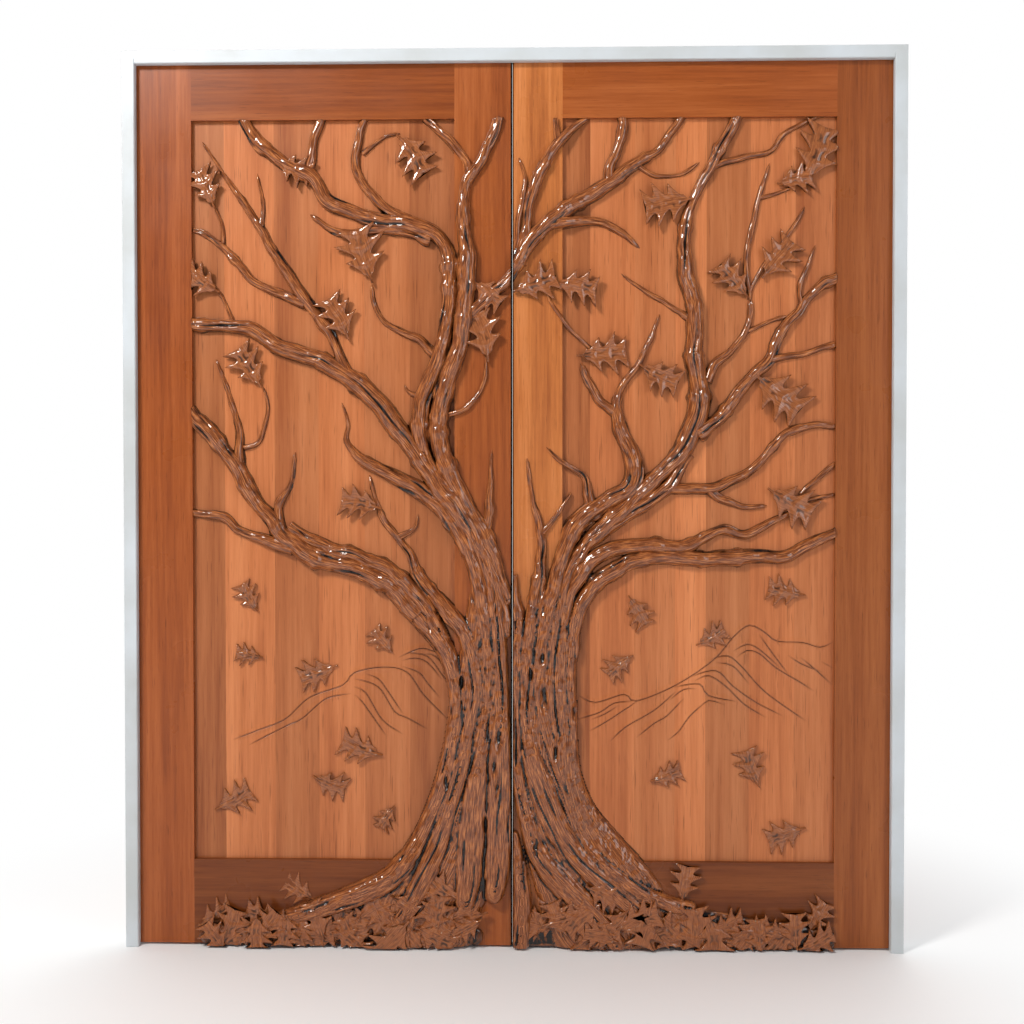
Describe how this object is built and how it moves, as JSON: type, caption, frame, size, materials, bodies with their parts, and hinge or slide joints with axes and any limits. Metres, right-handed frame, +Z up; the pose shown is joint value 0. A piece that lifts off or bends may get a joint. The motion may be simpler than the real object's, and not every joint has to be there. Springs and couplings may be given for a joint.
{
  "type": "carved double door",
  "caption": "Pair of panelled wooden doors with an oak tree carved in relief across both leaves, hung inside a slim rebated frame on lift-off hinges.",
  "frame": {"origin": "on the floor, on the meeting line of the two leaves, at half the depth of the whole part", "axes": "+X to the right as seen from the carved side, the carved side faces -Y, +Z up"},
  "size_m": [1.8734, 0.0926, 2.161],
  "materials": {
    "frame_paint": "satin paint",
    "stile_wood": "varnished",
    "panel_wood": "varnished",
    "carved_wood": "varnished",
    "hinge_metal": "satin",
    "catch_brass": "polished",
    "spring_steel": "plain"
  },
  "bodies": {
    "frame": {"head": "frame_paint", "left_jamb": "frame_paint", "left_bottom_hinge_frame_plate": "hinge_metal", "left_bottom_hinge_pin": "hinge_metal", "left_middle_hinge_frame_plate": "hinge_metal", "left_middle_hinge_pin": "hinge_metal", "left_top_hinge_frame_plate": "hinge_metal", "left_top_hinge_pin": "hinge_metal", "left_strike_plate": "catch_brass", "right_jamb": "frame_paint", "right_bottom_hinge_frame_plate": "hinge_metal", "right_bottom_hinge_pin": "hinge_metal", "right_middle_hinge_frame_plate": "hinge_metal", "right_middle_hinge_pin": "hinge_metal", "right_top_hinge_frame_plate": "hinge_metal", "right_top_hinge_pin": "hinge_metal", "right_strike_plate": "catch_brass"},
    "left_leaf": {"left_meeting_stile": "stile_wood", "left_hinge_stile": "stile_wood", "left_top_rail": "stile_wood", "left_bottom_rail": "stile_wood", "left_board_1": "panel_wood", "left_board_2": "panel_wood", "left_board_3": "panel_wood", "left_board_4": "panel_wood", "left_board_5": "panel_wood", "left_board_6": "panel_wood", "left_tree_carving": "carved_wood", "left_falling_leaves": "carved_wood", "left_bottom_hinge_leaf_plate": "hinge_metal", "left_middle_hinge_leaf_plate": "hinge_metal", "left_top_hinge_leaf_plate": "hinge_metal", "left_catch_sleeve": "catch_brass", "left_catch_spring": "spring_steel"},
    "right_leaf": {"right_meeting_stile": "stile_wood", "right_hinge_stile": "stile_wood", "right_top_rail": "stile_wood", "right_bottom_rail": "stile_wood", "right_board_1": "panel_wood", "right_board_2": "panel_wood", "right_board_3": "panel_wood", "right_board_4": "panel_wood", "right_board_5": "panel_wood", "right_board_6": "panel_wood", "right_board_7": "panel_wood", "right_tree_carving": "carved_wood", "right_falling_leaves": "carved_wood", "right_bottom_hinge_leaf_plate": "hinge_metal", "right_middle_hinge_leaf_plate": "hinge_metal", "right_top_hinge_leaf_plate": "hinge_metal", "right_catch_sleeve": "catch_brass", "right_catch_spring": "spring_steel"},
    "left_bullet": {"left_catch_bullet": "catch_brass"},
    "right_bullet": {"right_catch_bullet": "catch_brass"}
  },
  "joints": [
    {"name": "left_leaf_swing", "type": "hinge", "parent": "frame", "child": "left_leaf", "pos_m": [-0.91625, 0.03975, 0], "axis": [0, 0, 1], "range_deg": [0, 105]},
    {"name": "left_bullet_slide", "type": "slide", "parent": "left_leaf", "child": "left_bullet", "axis": [0, 0, 1], "range_m": [-0.002, 0], "stiffness_N_per_m": 1500, "springref_m": 0.001, "deforming": ["left_catch_spring"]},
    {"name": "right_leaf_swing", "type": "hinge", "parent": "frame", "child": "right_leaf", "pos_m": [0.91625, 0.03975, 0], "axis": [0, 0, 1], "range_deg": [-105, 0]},
    {"name": "right_bullet_slide", "type": "slide", "parent": "right_leaf", "child": "right_bullet", "axis": [0, 0, 1], "range_m": [-0.002, 0], "stiffness_N_per_m": 1500, "springref_m": 0.001, "deforming": ["right_catch_spring"]}
  ]
}
